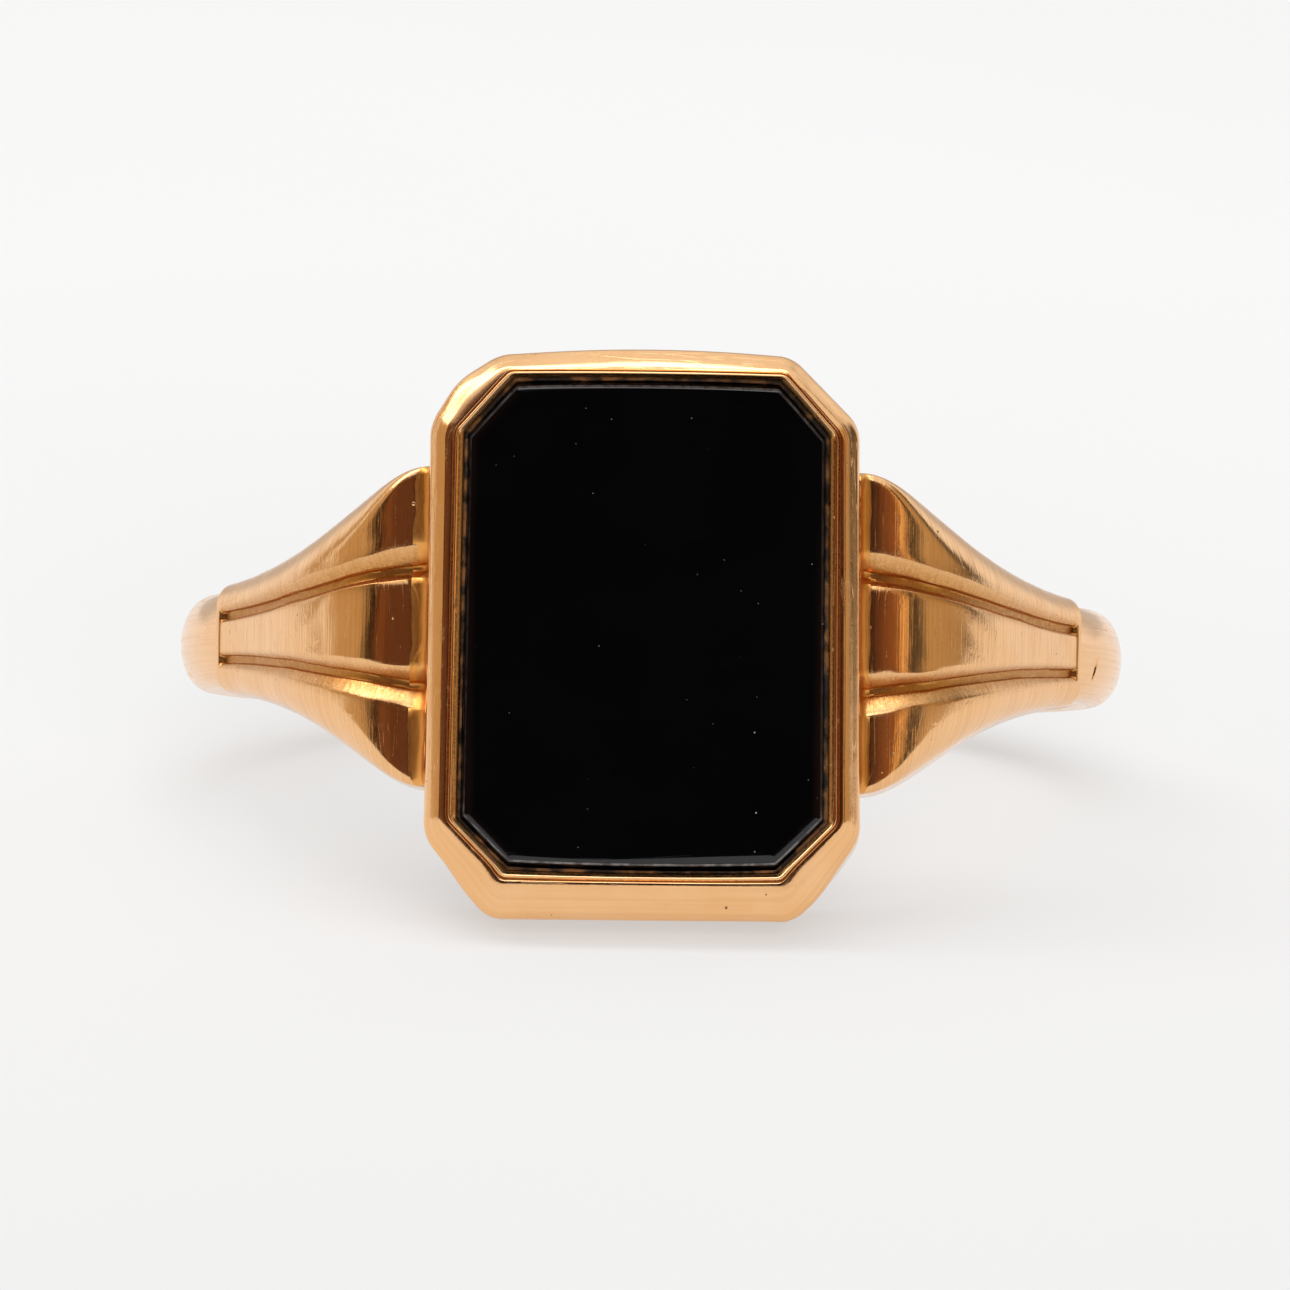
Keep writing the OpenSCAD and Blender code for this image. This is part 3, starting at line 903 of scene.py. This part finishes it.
def make_world():
    """A white tent round the ring. What stands in it at the front, low down, is dark and warm."""
    world = bpy.data.worlds.new("tent")
    bpy.context.scene.world = world
    world.use_nodes = True
    tree = world.node_tree
    shade = next(n for n in tree.nodes if n.type == "BACKGROUND")
    way = link_in(tree, "ShaderNodeSeparateXYZ",
                  Vector=link_in(tree, "ShaderNodeTexCoord").outputs["Generated"])

    def calc(operation, *values):
        return link_in(tree, "ShaderNodeMath", {"operation": operation},
                       **{"i%d" % k: v for k, v in enumerate(values)}).outputs[0]

    # What stands round the ring, by angle: 0 is in front, and 90 is to the right.
    turn = calc("ARCTAN2", way.outputs[0], calc("MULTIPLY", way.outputs[1], -1.0))
    share = calc("MULTIPLY_ADD", turn, 1 / (2 * math.pi), .5)
    ramp = link_in(tree, "ShaderNodeValToRGB", i0=share)
    stops = [(-180, TENT_LOW), (-150, TENT_LOW), (-140, TENT), (-132, TENT), (-123, WARM),
             (-116, TAN), (-112, TENT), (-108, TENT), (-104, WARM), (-75, WARM), (-69, DARKEST),
             (-62, DARKEST), (-54, BROWN), (-46, DARK), (-20, DARK), (-10, DARKEST), (10, DARKEST),
             (20, DARK), (32, BROWN), (43, BROWN), (46.5, ORANGE), (52.5, ORANGE), (55, SHADE),
             (67, SHADE), (74, WARM), (104, TAN), (115, SHADE), (120, SHADE), (124, TENT),
             (138, TENT), (150, TENT_LOW), (180, TENT_LOW)]
    bar = ramp.color_ramp
    while len(bar.elements) > 1:
        bar.elements.remove(bar.elements[-1])
    bar.elements[0].position, bar.elements[0].color = 0, (*stops[0][1], 1)
    for angle, color in stops[1:]:
        bar.elements.new(angle / 360 + .5).color = (*color, 1)
    low, high = (math.sin(math.radians(a)) for a in TENT_RISE)
    height = link_in(tree, "ShaderNodeMapRange", {"interpolation_type": "SMOOTHSTEP"},
                     Value=way.outputs[2], From_Min=low, From_Max=high).outputs[0]
    tent = link_in(tree, "ShaderNodeMix", {"data_type": "RGBA"}, Factor=height)
    tree.links.new(ramp.outputs[0], tent.inputs[MIX_A])
    tent.inputs[MIX_B].default_value = (*TENT, 1)
    seen = link_in(tree, "ShaderNodeMix", {"data_type": "RGBA"},
                   Factor=link_in(tree, "ShaderNodeLightPath").outputs["Is Camera Ray"])
    tree.links.new(tent.outputs[MIX_RESULT], seen.inputs[MIX_A])
    seen.inputs[MIX_B].default_value = (*BACKDROP, 1)
    tree.links.new(seen.outputs[MIX_RESULT], shade.inputs[0])


TENT = (.96, .98, 1.0)
TENT_LOW = (.60, .60, .60)
DARK = (.125, .052, .026)
DARKEST = (.03, .018, .012)
BROWN = (.24, .10, .04)
SHADE = (.075, .065, .055)
ORANGE = (.92, .60, .27)
WARM = (.55, .41, .23)
TAN = (.43, .32, .18)
BACKDROP = (.915, .915, .915)
TENT_RISE = (34, 48)   # degrees up, over which what stands in the tent ends
FLOOR_GLOW = .54       # a lit table: it shines by itself as well as in the light of the tent
FAR_GLOW = .19         # and more so where the lamps don't reach, up to the backdrop


def area_light(name, towards, away, size, radiance, mirrored=True):
    """A soft lamp of this size that shines at the ring from that way and distance.

    mirrored says whether the gold shows it.
    """
    data = bpy.data.lights.new(name, "AREA")
    data.shape = "RECTANGLE"
    data.size, data.size_y = size
    data.energy = radiance * math.pi * size[0] * size[1]
    lamp = bpy.data.objects.new(name, data)
    lamp.visible_glossy = mirrored
    way = Vector(towards).normalized()
    lamp.location = way * away
    lamp.rotation_euler = way.to_track_quat("Z", "Y").to_euler()
    bpy.context.scene.collection.objects.link(lamp)


def make_floor(level):
    """A strip of lit paper under the ring, and the table beside it that the gold doesn't show."""
    far, left, right = 4.0, -.062, .085   # metres
    material = floor_material()
    for name, a, b in (("paper", left, right), ("table_left", -far, left),
                       ("table_right", right, far)):
        corners = [(a, -far), (b, -far), (b, far), (a, far)]
        mesh = bpy.data.meshes.new(name)
        mesh.from_pydata([(x, y, level) for x, y in corners], [], [(0, 1, 2, 3)])
        mesh.materials.append(material)
        floor = bpy.data.objects.new(name, mesh)
        floor.visible_glossy = name == "paper"
        bpy.context.scene.collection.objects.link(floor)


SENSOR = 36               # mm
VIEW_DISTANCE = .280      # from the rim to the camera
VIEW_FIELD = 27.56 * MM   # width of what is seen at the rim
VIEW_TURN = .9            # degrees from straight in front, towards +X
VIEW_DROP = 2.2           # degrees below square on to the stone
VIEW_ROLL = .75           # degrees about the way it looks
AIM = (.05, RIM_Y, -.31)  # in the hoop's frame


def make_camera():
    """A long lens at the view's distance, nearly square on to the stone."""
    data = bpy.data.cameras.new("camera")
    data.sensor_width = SENSOR
    data.lens = SENSOR * VIEW_DISTANCE / VIEW_FIELD
    data.clip_start, data.clip_end = .02, 6
    camera = bpy.data.objects.new("camera", data)
    turn, rise = math.radians(VIEW_TURN), LEAN - math.radians(VIEW_DROP)
    back = Vector((math.sin(turn) * math.cos(rise), -math.cos(turn) * math.cos(rise),
                   math.sin(rise)))
    place = Vector(to_row(AIM)[0]) + back * VIEW_DISTANCE
    roll = Matrix.Rotation(math.radians(VIEW_ROLL), 3, "Z")
    facing = back.to_track_quat("Z", "Y").to_matrix() @ roll
    camera.matrix_world = Matrix.LocRotScale(place, facing.to_quaternion(), None)
    bpy.context.scene.collection.objects.link(camera)
    bpy.context.scene.camera = camera


# ---------------------------------------------------------------- the ring

GOLD = (.95, .565, .28), (.93, .53, .245)           # where it is light and where it is warm
BRUSHED_GOLD = (.94, .56, .275), (.92, .52, .24)
# The solder's own colour, made deeper and darker in part as painted shade in its corner by the
# bezel.
SOLDER_WITH_CORNER_SHADE = (.94, .47, .13), (.84, .37, .08)


def build():
    """Every piece, with its material."""
    gold = gold_material("gold", *GOLD, .12, .006, 1.5)
    side_gold = gold_material("gold, brushed", *BRUSHED_GOLD, .17, .009, 2.2)
    solder = gold_material("solder", *SOLDER_WITH_CORNER_SHADE, .27, .014, 2.6, .1)
    shoulder_gold = gold_material("gold, shoulders", *GOLD, .12, .009, 2.4)
    make_bezel(gold)
    make_stone(onyx_material())
    make_cement(cement_material())
    make_plate(side_gold)
    make_shank(gold)
    # The way in X, the width of the solder, and the seed of what is uneven.
    for name, side, width, seed in (("left", -1, .36, 50), ("right", 1, .22, 80)):
        make_shoulder(name, side, seed, shoulder_gold)
        make_seam(name, side, width, seed, solder)
    seat = frame["nodes"]["stone_seat"]
    seat.data.materials.clear()
    seat.data.materials.append(side_gold)


make_camera()
make_world()
area_light("overhead", towards=(-.36, .05, .92), away=.36, size=(.15, .58), radiance=2.8)
area_light("front", towards=(.05, -.6, .8), away=.40, size=(.20, .20), radiance=1.8)
area_light("table_light", towards=(.1, -.95, .30), away=1.6, size=(.9, .8), radiance=16,
           mirrored=False)
build()
NEW_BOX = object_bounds()
make_floor(NEW_BOX[0][2])
bpy.context.scene.view_settings.view_transform = "Standard"
